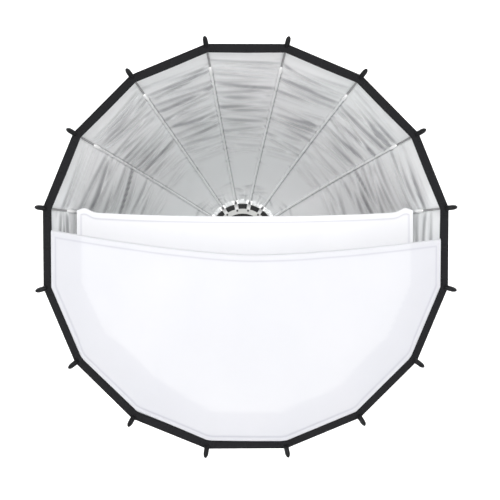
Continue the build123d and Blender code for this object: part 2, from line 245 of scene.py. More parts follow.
# ---- materials ----
class Nodes:
    """A small helper that adds shader nodes and links them."""

    def __init__(self, name):
        self.material = bpy.data.materials.new(name)
        self.material.use_nodes = True
        self.tree = self.material.node_tree
        self.shader = self.tree.nodes["Principled BSDF"]

    def add(self, kind, **values):
        node = self.tree.nodes.new(kind)
        for key, value in values.items():
            if hasattr(node, key):
                setattr(node, key, value)
            else:
                node.inputs[key.replace("_", " ")].default_value = value
        return node

    def link(self, source, target):
        self.tree.links.new(source, target)

    def feed(self, socket, source):
        """Drive one of the shader's own sockets."""
        self.link(source, self.shader.inputs[socket])

    def base(self, color, roughness, **sockets):
        self.shader.inputs["Base Color"].default_value = (*color, 1)
        self.shader.inputs["Roughness"].default_value = roughness
        for key, value in sockets.items():
            self.shader.inputs[key.replace("_", " ")].default_value = value

    def math(self, operation, a, b=None, c=None):
        node = self.add("ShaderNodeMath", operation=operation)
        for socket, value in zip(node.inputs, (a, b, c)):
            if value is None:
                continue
            if isinstance(value, (int, float)):
                socket.default_value = value
            else:
                self.link(value, socket)
        return node.outputs[0]

    def noise(self, vector, scale, detail=3.0, roughness=0.5):
        node = self.add("ShaderNodeTexNoise", Scale=scale, Detail=detail, Roughness=roughness)
        self.link(vector, node.inputs["Vector"])
        return node.outputs["Fac"]

    def ramp(self, factor, low, high, colors):
        node = self.add("ShaderNodeValToRGB")
        ends = node.color_ramp.elements
        ends[0].position, ends[1].position = low, high
        ends[0].color, ends[1].color = (*colors[0], 1), (*colors[1], 1)
        self.link(factor, node.inputs["Fac"])
        return node.outputs["Color"]

    def shaded(self, color, darkest):
        """color, darkened by the painted shade that the cloth's own points hold, and on the diffusers by
        their hem seams as well.
        """
        darker = self.add("ShaderNodeMix", data_type="RGBA", blend_type="MULTIPLY")
        shade = self.add("ShaderNodeAttribute", attribute_name="painted_shade_and_seam")
        self.link(shade.outputs["Fac"], darker.inputs[0])
        self.link(color, darker.inputs[6])
        darker.inputs[7].default_value = (*darkest, 1)
        return darker.outputs[2]

    def bump(self, height, distance, strength=1.0, below=None):
        node = self.add("ShaderNodeBump", Strength=strength, Distance=distance)
        self.link(height, node.inputs["Height"])
        if below is not None:
            self.link(below, node.inputs["Normal"])
        return node.outputs["Normal"]

    def weave(self, uv, thread):
        """Threads over and under one another, thread metres apart, as a height from 0 to 1."""
        parts = self.add("ShaderNodeSeparateXYZ")
        self.link(uv, parts.inputs[0])
        turns = math.pi / thread
        across = self.math("SINE", self.math("MULTIPLY", parts.outputs[0], turns))
        along = self.math("SINE", self.math("MULTIPLY", parts.outputs[1], turns))
        return self.math("ADD", self.math("MULTIPLY", self.math("MULTIPLY", across, along), 0.5), 0.5)


def uv_of(nodes):
    """The cloth's own flat coordinates, in metres."""
    return nodes.add("ShaderNodeUVMap", uv_map="cloth").outputs["UV"]


def object_place(nodes):
    """The piece's own coordinates."""
    return nodes.add("ShaderNodeTexCoord").outputs["Object"]


def lining_material():
    """Silver-coated lining: a satin metal sheen over a fine plain weave, a little uneven."""
    thread = 0.0011
    painted_fold_shade_colour = (0.25, 0.25, 0.26)
    smoothest, roughness_spread = 0.28, 0.16
    nodes = Nodes("silver_lining")
    nodes.base((0.95, 0.95, 0.955), 0.36, Metallic=0.25)
    uv, place_at = uv_of(nodes), object_place(nodes)
    tint = nodes.noise(place_at, 4.0, 2.0)
    even = nodes.ramp(tint, 0.35, 0.65, ((0.93, 0.95, 0.95), (0.975, 0.975, 0.98)))
    # The silver is darkened towards a painted shade colour on the folds' slopes, at the sleeves' feet and
    # over the wrinkled stretch.
    nodes.feed("Base Color", nodes.shaded(even, painted_fold_shade_colour))
    rough = nodes.noise(place_at, 60.0, 4.0)
    nodes.feed("Roughness", nodes.math("ADD", nodes.math("MULTIPLY", rough, roughness_spread), smoothest))
    fine = nodes.bump(nodes.weave(uv, thread), 0.00006, 0.5)
    nodes.feed("Normal", nodes.bump(nodes.noise(place_at, 140.0, 5.0, 0.6), 0.0006, 0.35, fine))
    return nodes.material


def outer_cloth_material():
    """Black woven nylon with a faint sheen and dust-grey wear on its high threads."""
    thread = 0.0016
    black, worn = (0.010, 0.010, 0.011), (0.034, 0.034, 0.037)
    nodes = Nodes("black_outer_cloth")
    nodes.base((0.012, 0.012, 0.014), 0.7, Sheen_Weight=0.02, Sheen_Roughness=0.45, Specular_IOR_Level=0.2)
    uv, place_at = uv_of(nodes), object_place(nodes)
    height = nodes.weave(uv, thread)
    wear = nodes.math("MULTIPLY", height, nodes.noise(place_at, 18.0, 5.0, 0.6))
    nodes.feed("Base Color", nodes.ramp(wear, 0.15, 0.8, (black, worn)))
    fine = nodes.bump(height, 0.00018, 0.8)
    nodes.feed("Normal", nodes.bump(nodes.noise(place_at, 40.0, 5.0), 0.002, 0.3, fine))
    return nodes.material


def band_material():
    """Black hook-and-loop tape: fuzzy loops between two woven selvedges with a row of stitches in each."""
    stitch_in, stitch_half_width, stitch_length = 0.0024, 0.0005, 0.0032
    black, high = (0.005, 0.005, 0.006), (0.020, 0.020, 0.022)
    nodes = Nodes("black_loop_tape")
    nodes.base((0.012, 0.012, 0.013), 0.95, Sheen_Weight=0.04, Sheen_Roughness=0.6, Specular_IOR_Level=0.15)
    uv, place_at = uv_of(nodes), object_place(nodes)
    loops = nodes.noise(place_at, 900.0, 6.0, 0.7)
    nodes.feed("Base Color", nodes.ramp(loops, 0.3, 0.75, (black, high)))
    parts = nodes.add("ShaderNodeSeparateXYZ")
    nodes.link(uv, parts.inputs[0])
    from_edge = nodes.math("PINGPONG", parts.outputs[1], BAND_W / 2)
    in_row = nodes.math("COMPARE", from_edge, stitch_in, stitch_half_width)
    turns = nodes.math("MULTIPLY", parts.outputs[0], 2 * math.pi / stitch_length)
    dash = nodes.math("GREATER_THAN", nodes.math("SINE", turns), -0.3)
    fuzz = nodes.bump(loops, 0.0012, 0.9)
    nodes.feed("Normal", nodes.bump(nodes.math("MULTIPLY", in_row, dash), 0.0006, 1.0, fuzz))
    return nodes.material


def diffuser_material(name, white, alpha, through_share):
    """Thin white polyester: a close plain weave that lets some light and shape through."""
    thread = 0.0013
    seam_and_shade_colour = (0.72, 0.72, 0.76)
    cloudy = (white - 0.02, white - 0.015, white + 0.01)
    clear = (white + 0.01, white + 0.01, white + 0.03)
    nodes = Nodes(name)
    nodes.base((white, white, white + 0.02), 0.75, Sheen_Weight=0.1, Alpha=alpha)
    uv, place_at = uv_of(nodes), object_place(nodes)
    even = nodes.ramp(nodes.noise(place_at, 6.0, 3.0), 0.3, 0.7, (cloudy, clear))
    # The white is darkened along the hem seams and, on the outer sheet, by a painted shade below the inner
    # sheet's edge.
    nodes.feed("Base Color", nodes.shaded(even, seam_and_shade_colour))
    fine = nodes.bump(nodes.weave(uv, thread), 0.00010, 0.6)
    nodes.feed("Normal", nodes.bump(nodes.noise(place_at, 25.0, 4.0), 0.0015, 0.25, fine))
    through = nodes.add("ShaderNodeBsdfTranslucent", Color=(0.93, 0.935, 0.96, 1))
    mixed = nodes.add("ShaderNodeMixShader", Fac=through_share)
    nodes.link(nodes.shader.outputs[0], mixed.inputs[1])
    nodes.link(through.outputs[0], mixed.inputs[2])
    nodes.link(mixed.outputs[0], nodes.tree.nodes["Material Output"].inputs["Surface"])
    return nodes.material


def moulded_material(name, color, roughness, wear=0.12, **sockets):
    """Moulded plastic or painted metal with a fine grain, uneven gloss and slightly paler worn patches."""
    gloss_spread = 0.18
    grain_scale, grain_depth = 1680.0, 0.00008
    nodes = Nodes(name)
    nodes.base(color, roughness, **sockets)
    place_at = object_place(nodes)
    patches = nodes.noise(place_at, 35.0, 5.0, 0.6)
    paler = tuple(min(1.0, c + wear * (0.25 + 0.4 * c)) for c in color)
    darker = tuple(c * (1 - wear) for c in color)
    nodes.feed("Base Color", nodes.ramp(patches, 0.35, 0.7, (darker, paler)))
    spread = nodes.math("MULTIPLY", patches, gloss_spread)
    nodes.feed("Roughness", nodes.math("ADD", spread, roughness - gloss_spread / 2))
    grain = nodes.noise(place_at, grain_scale, 3.0, 0.6)
    nodes.feed("Normal", nodes.bump(grain, grain_depth, 0.8))
    return nodes.material


LINING = lining_material()
OUTER_CLOTH = outer_cloth_material()
BAND = band_material()
# Both sheets are one white cloth; the inner's paler white (0.90) and the outer's darker white (0.80) are
# painted light and painted shade that even out how much light each sheet gets.
INNER_DIFFUSER = diffuser_material("inner_diffuser_cloth", 0.90, 1.0, 0.08)
OUTER_DIFFUSER = diffuser_material("outer_diffuser_cloth", 0.80, 0.92, 0.36)
BLACK_PLASTIC = moulded_material(
    "black_moulding", (0.007, 0.007, 0.008), 0.5, wear=0.04, Specular_IOR_Level=0.2
)
WHITE_PLASTIC = moulded_material("white_moulding", (0.86, 0.86, 0.86), 0.38, wear=0.05)
GREY_PLASTIC = moulded_material("grey_moulding", (0.60, 0.60, 0.58), 0.42, wear=0.07)
BLACK_ROD = moulded_material("black_rod_paint", (0.26, 0.26, 0.265), 0.30, Coat_Weight=0.4)
BLACK_STEEL = moulded_material("blackened_screw", (0.02, 0.02, 0.022), 0.3, Metallic=0.8)
PLAIN_STEEL = moulded_material("plain_steel", (0.78, 0.78, 0.78), 0.40, Metallic=1.0)
ANODISED = moulded_material("black_anodised", (0.025, 0.025, 0.028), 0.32, Metallic=0.7)


# ---- the camera, in front of the mouth and a little above and left of its axis ----
CAMERA_BACK = 2.5
CAMERA_UP = 0.125
CAMERA_LEFT = 0.047
CAMERA_AIM = (0.0076, 0, -0.0043)  # the point it looks at, from the middle of the rim
CAMERA_LENS = 82.8
SENSOR = 36.0


def make_camera():
    """A long lens in front of the mouth."""
    rim_centre = Vector((0, -RIM_DEPTH, 0))
    data = bpy.data.cameras.new("camera")
    data.lens = CAMERA_LENS
    data.sensor_width = SENSOR
    data.clip_end = 50
    camera = bpy.data.objects.new("camera", data)
    bpy.context.scene.collection.objects.link(camera)
    camera.location = rim_centre + Vector((-CAMERA_LEFT, -CAMERA_BACK, CAMERA_UP))
    target = rim_centre + Vector(CAMERA_AIM)
    camera.rotation_euler = (target - camera.location).to_track_quat("-Z", "Y").to_euler()
    bpy.context.scene.camera = camera


make_camera()


# ---- the canopy's cloth ----
# The folds across a panel: where along the cloth they lie, as shares of its length, how far apart they are,
# and the ranges that their sizes are drawn from. side and reach are shares of the panel's half width.
FOLD_SEED = 4000
FIRST_FOLD_SHIFT = (-0.008, 0.010)
FOLDS_END = 0.74
FOLDS_FADE_END = 0.86
FOLDS_FADE = 0.35
FOLD_GAP = (0.015, 0.027)
FOLD_SIGNS = (1, 1, 1, -0.5)
FOLD_LINE = {"tilt": (-0.014, 0.014), "bow": (-0.007, 0.004), "width": (0.0045, 0.0075)}
FOLD_HEIGHT = (0.0038, 0.0070)
FOLD_PLACE = {"side": (-0.7, 0.7), "reach": (0.8, 2.0)}

# Small folds round the throat, this far from the cloth's end at the hub.
THROAT_FOLDS = (0.016, 0.030, 0.046)
THROAT_FOLD_SHIFT = (-0.005, 0.005)
THROAT_FOLD = {
    "tilt": (-0.012, 0.012),
    "bow": (-0.004, 0.004),
    "width": (0.0030, 0.0048),
    "height": (0.0010, 0.0026),
    "side": (-0.9, 0.9),
    "reach": (0.4, 0.9),
}

# Short puckers that run in from the ribs' seams, and creases that run down to the hub.
PUCKERS = 34
PUCKERS_START = 0.8 * SMOOTH_STRIP
PUCKERS_END = 0.8
PUCKER = {"width": (0.003, 0.006), "height": (0.0008, 0.0022), "reach": (0.10, 0.34), "tilt": (-0.03, 0.03)}
CREASES = 7
CREASES_START = 0.90
CREASE = {"at": (-0.8, 0.8), "width": (0.05, 0.13), "height": (0.0010, 0.0030)}
BELLY = 0.0030  # how far a panel bellies in between its ribs near the rim
BELLY_END = 0.8
SEAM_POWER = 14  # how suddenly the folds stop at a rib's seam
RIM_FADE = 0.03


def drawn(draw, ranges):
    """One value from each range, in the order that they are listed."""
    return {key: draw.uniform(*ends) for key, ends in ranges.items()}


def hump(distance, width):
    """1 in the middle of a fold, falling smoothly to 0 on both sides."""
    return np.exp(-((distance / width) ** 2))


class Wrinkles:
    """The lining's folds in one panel between two ribs: how far the cloth stands in towards the light's axis.

    u runs from -1 on one rib to 1 on the next, and length is measured along the cloth back from the rim.
    """

    def __init__(self, panel, total):
        draw = random.Random(FOLD_SEED + panel)
        self.total = total
        self.folds = []
        at = SMOOTH_STRIP + draw.uniform(*FIRST_FOLD_SHIFT)
        while at < FOLDS_END * total:
            fade = min(1.0, (FOLDS_FADE_END * total - at) / (FOLDS_FADE * total))
            line = drawn(draw, FOLD_LINE)
            height = fade * draw.uniform(*FOLD_HEIGHT) * draw.choice(FOLD_SIGNS)
            self.folds.append({"at": at, "height": height, **line, **drawn(draw, FOLD_PLACE)})
            at += draw.uniform(*FOLD_GAP)
        for back in THROAT_FOLDS:
            at = total - back - draw.uniform(*THROAT_FOLD_SHIFT)
            self.folds.append({"at": at, **drawn(draw, THROAT_FOLD)})
        self.puckers = []
        for _ in range(PUCKERS):
            at = draw.uniform(PUCKERS_START, PUCKERS_END * total)
            self.puckers.append({"at": at, "end": draw.choice((-1, 1)), **drawn(draw, PUCKER)})
        self.creases = [drawn(draw, CREASE) for _ in range(CREASES)]

    def height(self, u, length):
        """How far the cloth stands in at places in the panel."""
        rise = np.zeros(np.broadcast(u, length).shape)
        for fold in self.folds:
            line = fold["at"] + fold["tilt"] * u + fold["bow"] * (1 - u**2)
            across = hump(length - line, fold["width"])
            rise += fold["height"] * across * hump(u - fold["side"], fold["reach"])
        for pucker in self.puckers:
            from_end = 1 - u * pucker["end"]
            line = pucker["at"] + pucker["tilt"] * from_end
            across = hump(length - line, pucker["width"])
            rise += pucker["height"] * across * hump(from_end, pucker["reach"])
        rise += BELLY * (1 - u**2) * np.clip(1 - length / (BELLY_END * self.total), 0, 1)
        creased = (length / self.total - CREASES_START) / (1 - CREASES_START)
        near_hub = np.clip(creased, 0, 1) ** 2
        for crease in self.creases:
            rise += crease["height"] * near_hub * hump(u - crease["at"], crease["width"])
        seam = 1 - np.abs(np.clip(u, -1, 1)) ** SEAM_POWER
        rim = np.clip(length / RIM_FADE, 0, 1)
        return rise * seam * rim


CANOPY_START = depth_at_radius(CANOPY_START_R)
ROW_DEPTHS, CLOTH_LENGTH = depths_along_rib(CANOPY_START, RIM_DEPTH, ROW_STEP)
PANELS = [Wrinkles(panel, CLOTH_LENGTH) for panel in range(RIB_COUNT)]
MID_COLUMNS = np.array([0, 0.0011, 0.0022, 0.0034, 0.0047, 0.0065, 0.0095])  # close together over the rod
MID_COLUMN_COUNT = 10  # from the rib to the fold line
OUTER_COLUMN_COUNT = 15  # from the fold line to the half-way plane
PAST_HALF_WAY = 1.2  # room for the one column past that plane


def fold_line(depth):
    """How far from a rib's plane the cloth meets the half-way plane once the ribs have closed."""
    slope = math.tan(HALF)
    reach = PIVOT_R + (rod_radius(depth) - PIVOT_R) * math.cos(FOLD) - (depth - PIVOT_DEPTH) * math.sin(FOLD)
    return slope * reach / (1 + slope**2 * math.cos(FOLD)) - FIN_GAP


def half_columns(depth):
    """The columns of one half gore at a depth, from the rib outwards, one of them past the half-way plane."""
    line = fold_line(depth)
    middle = rod_radius(depth) * math.cos(HALF) * math.sin(HALF)
    rest = np.linspace(MID_COLUMNS[-1], line, MID_COLUMN_COUNT - len(MID_COLUMNS) + 1)[1:]
    outer = np.linspace(line, middle, OUTER_COLUMN_COUNT + 1)[1:]
    beyond = middle + (outer[-1] - outer[-2])
    return np.concatenate([MID_COLUMNS, rest, outer, [beyond]])


def cloth_rise(number, t, radius, lengths):
    """How far the cloth stands in over a whole gore, from the panels on its two sides."""
    half_way = radius * math.cos(HALF) * math.sin(HALF)
    towards = np.clip(t / half_way, -PAST_HALF_WAY, PAST_HALF_WAY)
    u = np.where(t >= 0, towards - 1, towards + 1)
    after, before = PANELS[number - 1], PANELS[number - 2]
    return np.where(t >= 0, after.height(u, lengths), before.height(u, lengths))


def cloth_normal(t, radius):
    """The taut cloth's outward direction over a gore, as its r, t and depth parts. It turns over the rod."""
    slope = PARABOLA / 2 / radius * math.cos(HALF)
    steep = np.sqrt(1 + slope**2)
    lean = np.sign(t) * HALF * np.clip(np.abs(t) / TURN_W, 0, 1)
    return np.cos(lean) / steep, np.sin(lean) / steep, -slope / steep


def cloth_shade(t, depth, radius, rise):
    """The lining's painted shade: darker on the folds' slopes that face one way, in thin lines at the
    sleeves' feet (darker on one side of a rod), and over the most wrinkled stretch.
    """
    row_step = -CLOTH_LENGTH / (len(ROW_DEPTHS) - 1)
    slope_of_folds = np.gradient(rise, axis=0) / row_step
    foot = hump(np.abs(t) - FOOT_AT, FOOT_W) * sleeved(depth) * np.where(t < 0, *FOOT_SHADES)
    wrinkled = np.clip((radius - WRINKLED_R[0]) / (WRINKLED_R[1] - WRINKLED_R[0]), 0, 1)
    shade = np.clip(SLOPE_SHADE * slope_of_folds, 0, 1) + foot + WRINKLED_SHADE * wrinkled
    return np.clip(shade, 0, 1)


def gore_grids(number):
    """The lining's and outer cloth's points over a whole gore, with its uvs and its painted shade."""
    halves = np.array([half_columns(depth) for depth in ROW_DEPTHS])
    t = np.concatenate([-halves[:, :0:-1], halves], axis=1)
    depth = np.repeat(ROW_DEPTHS[:, None], t.shape[1], 1)
    lengths = np.interp(depth, ROW_DEPTHS, np.linspace(CLOTH_LENGTH, 0, len(ROW_DEPTHS)))
    radius = rod_radius(depth)
    rise = cloth_rise(number, t, radius, lengths)
    normal_r, normal_t, normal_depth = cloth_normal(t, radius)
    over_rod = np.exp(-((t / SLEEVE_W) ** 4)) * sleeved(depth)
    lining_out = LINING_OUT - (LINING_OUT + SLEEVE_IN) * over_rod - rise
    outer_out = OUTER_OUT - OUTER_FOLLOWS * rise
    chord_r = radius - np.abs(t) * math.tan(HALF)
    lining, outer = [
        place(number, chord_r + out * normal_r, t + out * normal_t, depth + out * normal_depth)
        for out in (lining_out, outer_out)
    ]
    uv = np.stack([t / math.cos(HALF), lengths], -1)
    return lining, outer, uv, cloth_shade(t, depth, radius, rise)


def sleeved(depth):
    """1 where the lining covers the rods, 0 in front of the tabs, where they are bare."""
    return 1 / (1 + np.exp((depth - SLEEVE_END) / SLEEVE_BLEND))


def strip_columns():
    """The strips of a gore, as first and last column of its grid."""
    centre = MID_COLUMN_COUNT + OUTER_COLUMN_COUNT
    return {
        "mid": (centre - MID_COLUMN_COUNT + 1, centre + MID_COLUMN_COUNT - 1),
        "left": (1, centre - MID_COLUMN_COUNT + 1),
        "right": (centre + MID_COLUMN_COUNT - 1, 2 * centre - 1),
    }


def fold_plane(number, side):
    """The plane that a gore's cloth folds flat against beside its rib: its normal and a point on it."""
    slope = math.tan(HALF)
    away, sideways = rib_axes(number)
    sign = 1 if side == "right" else -1
    normal = sign * sideways - slope * math.cos(FOLD) * away
    normal = normal + slope * math.sin(FOLD) * np.array([0, -1, 0])
    depth = (PIVOT_DEPTH + RIM_DEPTH) / 2
    line = fold_line(depth)
    point = place(number, rod_radius(depth) - line * slope, sign * line, depth)
    return normal, point


def ride_and_fold(piece, number, side):
    """Carry a strip with its rib, and give a side strip a mesh of its own; its fold plane is worked out but
    not used, so it doesn't fold.
    """
    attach(piece, f"rib_{number:02d}")
    if side == "mid":
        return
    normal, point = fold_plane(number, side)
    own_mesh(piece)


def make_canopy():
    """Three strips of lined cloth on each rib, which meet the next rib's strips half way."""
    for number in range(1, RIB_COUNT + 1):
        lining, outer, uv, shade = gore_grids(number)
        inside = grid_normals(lining)
        outside = -grid_normals(outer)
        for side, (first, last) in strip_columns().items():
            part = slice(first, last + 1)
            name = f"canopy_{number:02d}_{side}"
            piece = closed_shell(name, lining[:, part], outer[:, part], uv[:, part], [LINING, OUTER_CLOTH],
                                 normals=(inside[:, part], outside[:, part]), shade=shade[:, part])
            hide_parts(f"canopy_gore_{number:02d}")
            ride_and_fold(piece, number, side)


# ---- the throat: gathered cloth between the hub and the gores, one arc between each two brackets ----
THROAT_R = 0.0905
THROAT_OUTER_R = CANOPY_START_R + 0.0040
THROAT_DEEP = 0.0295
THROAT_RISE = 0.0008
THROAT_T = 0.0011
# An even painted shade for the throat. It is set on the points of the throat's black back, whose cloth
# doesn't use it, so the lining takes it only along its edges.
THROAT_SHADE = 0.60
THROAT_BRACKET = 0.0068  # half the gap left for a bracket
THROAT_ROWS = 7
THROAT_COLUMNS = 41
THROAT_WAVES = 4
THROAT_SEED = 77


def gathers(draw, turn):
    """The height of a throat strip's small waves."""
    waves = 0
    for _ in range(THROAT_WAVES):
        height = draw.uniform(0.0002, 0.0007)
        waves = waves + height * np.sin(turn * draw.uniform(60, 200) + draw.uniform(0, 6))
    return waves


def make_throat():
    """A ring of gathered cloth that closes the canopy on the hub, silver in front and black behind."""
    draw = random.Random(THROAT_SEED)
    across = np.linspace(0, 1, THROAT_ROWS)[:, None]
    radius = THROAT_R + (THROAT_OUTER_R - THROAT_R) * across
    gap = THROAT_BRACKET / radius
    for number in range(1, RIB_COUNT + 1):
        turn = rib_angle(number) + gap + (2 * HALF - 2 * gap) * np.linspace(0, 1, THROAT_COLUMNS)[None, :]
        depth = THROAT_DEEP + THROAT_RISE * across + gathers(draw, turn)
        flat_panel = math.cos(HALF) / np.cos(turn - rib_angle(number) - HALF)
        reach = radius * (1 - across + across * flat_panel)
        front = np.stack([reach * np.cos(turn), -depth, reach * np.sin(turn)], -1)
        back = front + np.array([0, THROAT_T, 0])
        uv = np.stack([radius * (turn - rib_angle(number)), radius + 0 * turn], -1)
        # Painted shade, set on the black back's points.
        shade = np.full(turn.shape, THROAT_SHADE)
        piece = closed_shell(f"throat_{number:02d}", back, front, uv, [OUTER_CLOTH, LINING], shade=shade)
        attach(piece, "hub")
        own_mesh(piece)
        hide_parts(f"canopy_gore_{number:02d}")


# ---- the rim band: loop tape with softly rounded edges ----
BAND_ACROSS = np.array([0.0, 0.0004, 0.0012, 0.004, 0.0095, 0.015, BAND_W - 0.0012, BAND_W - 0.0004, BAND_W])
BAND_PUFF = np.array([0.0, 0.55, 0.9, 1.0, 1.08, 1.0, 0.9, 0.55, 0.0]) * BAND_T
BAND_FACE = 0.00005  # the tape's edges, in front of the rim
BAND_BACK = 0.0002  # and its back, behind it


def band_columns(middle):
    """A gore's columns at the rim, stretched past the fold line to reach the half-way plane at middle."""
    half = half_columns(RIM_DEPTH)
    line = fold_line(RIM_DEPTH)
    stretched = line + (half - line) * (middle - line) / (half[-2] - line)
    half = np.where(half > line, stretched, half)
    return np.concatenate([-half[:0:-1], half])


def make_band():
    """The rim's loop tape, in three strips on each rib like the cloth behind it."""
    middle = RIM_R * math.cos(HALF) * math.sin(HALF)
    r = RIM_R - np.abs(band_columns(middle)) * math.tan(HALF) - BAND_ACROSS[:, None] / math.cos(HALF)
    inward = 1 - BAND_ACROSS / (RIM_R * math.cos(HALF))
    t = np.array([band_columns(middle * share) for share in inward])
    uv = np.stack([t, BAND_ACROSS[:, None] + 0 * t], -1)
    for number in range(1, RIB_COUNT + 1):
        front = place(number, r, t, RIM_DEPTH + BAND_FACE + BAND_PUFF[:, None])
        back = place(number, r, t, RIM_DEPTH - BAND_BACK)
        for side, (first, last) in strip_columns().items():
            part = slice(first, last + 1)
            name = f"rim_band_{number:02d}_{side}"
            piece = closed_shell(name, front[:, part], back[:, part], uv[:, part], [BAND, BAND])
            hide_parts(f"canopy_gore_{number:02d}")
            ride_and_fold(piece, number, side)


# ---- ribs: rod, tip cap and diffuser tab ----
ROD_START = PIVOT_DEPTH + 0.003
ROD_STEP = 0.006
STUB = [(-0.002, ROD_R), (0.012, ROD_R)]  # the rod's straight end inside its cap
CAP_START = 0.0009
CAP_R = 0.0057
CAP_PROFILE = [(0.0, 0.80), (0.0004, 0.95), (0.0012, 1.0), (0.014, 1.02), (0.027, 1.0), (0.033, 0.88)]
CAP_PROFILE += [(0.0375, 0.66), (0.0405, 0.42), (0.0417, 0.24), (0.042, 0.04)]
TAB_RINGS = 13
TAB_SIDES = 20
TAB_HALF_W = 0.0039
TAB_HALF_T = 0.0036
TAB_IN = 0.0018  # the tab's middle, in from the rod's
TAB_ENDS = (-0.3, 0.8)  # from TAB_DEPTH, as shares of TAB_L
TAB_SQUARENESS = 3.2
TAB_TIP = 0.02


def tube_faces(rows, sides):
    """Faces round a tube of rings, closed at both ends."""
    at = np.arange(rows * sides).reshape(rows, sides)
    nxt = np.roll(at, -1, axis=1)
    faces = np.stack([at[:-1], nxt[:-1], nxt[1:], at[1:]], -1).reshape(-1, 4).tolist()
    return faces + [at[0][::-1].tolist(), at[-1].tolist()]


def tube(name, number, r, depth, width, thickness, material, sides=16):
    """A round or oval tube along a rib's curve. width and thickness are half sizes, for all rings or each."""
    centre = place(number, r, 0 * r, depth)
    way = np.gradient(centre, axis=0)
    way /= np.linalg.norm(way, axis=1, keepdims=True)
    _, side = rib_axes(number)
    up = np.cross(way, side)
    turns = np.linspace(0, 2 * math.pi, sides, endpoint=False)
    wide = np.broadcast_to(width, r.shape)[:, None, None] * np.cos(turns)[None, :, None] * side
    thick = np.broadcast_to(thickness, r.shape)[:, None, None] * np.sin(turns)[None, :, None] * up[:, None]
    rings = centre[:, None] + wide + thick
    return new_piece(name, rings.reshape(-1, 3), tube_faces(len(r), sides), [material])


def rim_direction(number):
    """The way the rod points where it passes the rim."""
    slope = PARABOLA / 2 / rod_radius(RIM_DEPTH)
    away, _ = rib_axes(number)
    way = slope * away + np.array([0, -1, 0])
    return way / np.linalg.norm(way)


def make_ribs():
    """On each rib a bowed rod, its straight end, its tip cap and its tab."""
    depths, _ = depths_along_rib(ROD_START, RIM_DEPTH, ROD_STEP)
    cap_profile = [(along, CAP_R * share) for along, share in CAP_PROFILE]
    for number in range(1, RIB_COUNT + 1):
        rod = tube(f"rib_rod_{number:02d}", number, rod_radius(depths), depths, ROD_R, ROD_R, BLACK_ROD)
        way = rim_direction(number)
        rim_point = place(number, np.array(rod_radius(RIM_DEPTH)), np.array(0.0), np.array(RIM_DEPTH))
        stub = surface_of_revolution(f"rib_stub_{number:02d}", STUB, rim_point, way, [BLACK_ROD])
        cap_at = rim_point + way * CAP_START
        cap = surface_of_revolution(f"tip_cap_{number:02d}", cap_profile, cap_at, way, [BLACK_PLASTIC])
        tab = make_tab(number)
        for piece in (rod, stub, cap, tab):
            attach(piece, f"rib_{number:02d}")
            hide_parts(f"rib_{number:02d}")


def make_tab(number):
    """A white tab clipped on the rod where the lining's sleeve ends: a long rounded shell."""
    depths = np.linspace(TAB_DEPTH + TAB_ENDS[0] * TAB_L, TAB_DEPTH + TAB_ENDS[1] * TAB_L, TAB_RINGS)
    along = np.linspace(-1, 1, TAB_RINGS)
    swell = np.sqrt(np.clip(1 - np.abs(along) ** TAB_SQUARENESS, TAB_TIP, 1))
    return tube(f"diffuser_tab_{number:02d}", number, rod_radius(depths) - TAB_IN, depths,
                TAB_HALF_W * swell, TAB_HALF_T * swell, WHITE_PLASTIC, TAB_SIDES)


# ---- diffusers ----
SHEET_T = 0.0009
DIFFUSER_COLUMNS = 121
FRONT_ROWS = 60
ROLL_ROWS = 9
FLAP_ROWS = 50
SIDE_TRIM = 0.999  # keeps the sheet's side edges just inside its corners
INNER_INSET = 0.0030  # the sheets' fronts, behind their CAD nodes' fronts
OUTER_INSET = 0.0018
STEEPEST = 2.7  # the most that the lower edge's slant spreads the rows near it
# Painted shade on the outer sheet's front where no inner sheet lies behind it, standing in for the whiter
# look of two sheets one behind the other.
SINGLE_LAYER_SHADE = 0.26
SHOW_BLEND = 0.006  # the width over which the painted single-layer shade fades out
SEAM_IN = 0.0094  # the hem's seam, in from the sheet's edge
SEAM_W = 0.0013
HEM_ROWS = np.array([0, 0.0030, 0.0065, 0.0082, SEAM_IN, 0.0106, 0.0130, 0.0180])
HEM_LAYERS = 2.0
RIPPLES = 9
RIPPLE = {"pace": (6, 26), "start": (0, 6.28), "height": (0.0004, 0.0016)}
RIPPLE_SPAN = 0.4
FLAP_NARROWING = 0.045
FLAP_SWING = 0.004
FLAP_SWING_PACE = 9


def polygon_z(x, corner_r):
    """How far a sixteen-sided sheet reaches above and below its middle, at places across it."""
    apothem = corner_r * math.cos(HALF)
    angle = np.arange(RIB_COUNT // 4)[:, None] * 2 * HALF
    limits = (apothem - np.abs(x)[None, :] * np.sin(angle)) / np.cos(angle)
    return limits.min(0)


def layer(x, y, z):
    """A grid of points from coordinates that may be shared by its rows or columns."""
    return np.stack(np.broadcast_arrays(x, y, z), -1)


def front_heights(low, fold, slant):
    """Rows close together in both hems and evenly spread between them."""
    under_edge = low + HEM_ROWS[:, None] * slant
    over_edge = fold - HEM_ROWS[::-1, None]
    between = np.linspace(0, 1, FRONT_ROWS - 2 * len(HEM_ROWS) + 2)[1:-1, None]
    middle = under_edge[-1] + (over_edge[0] - under_edge[-1]) * between
    return np.concatenate([under_edge, middle, over_edge])


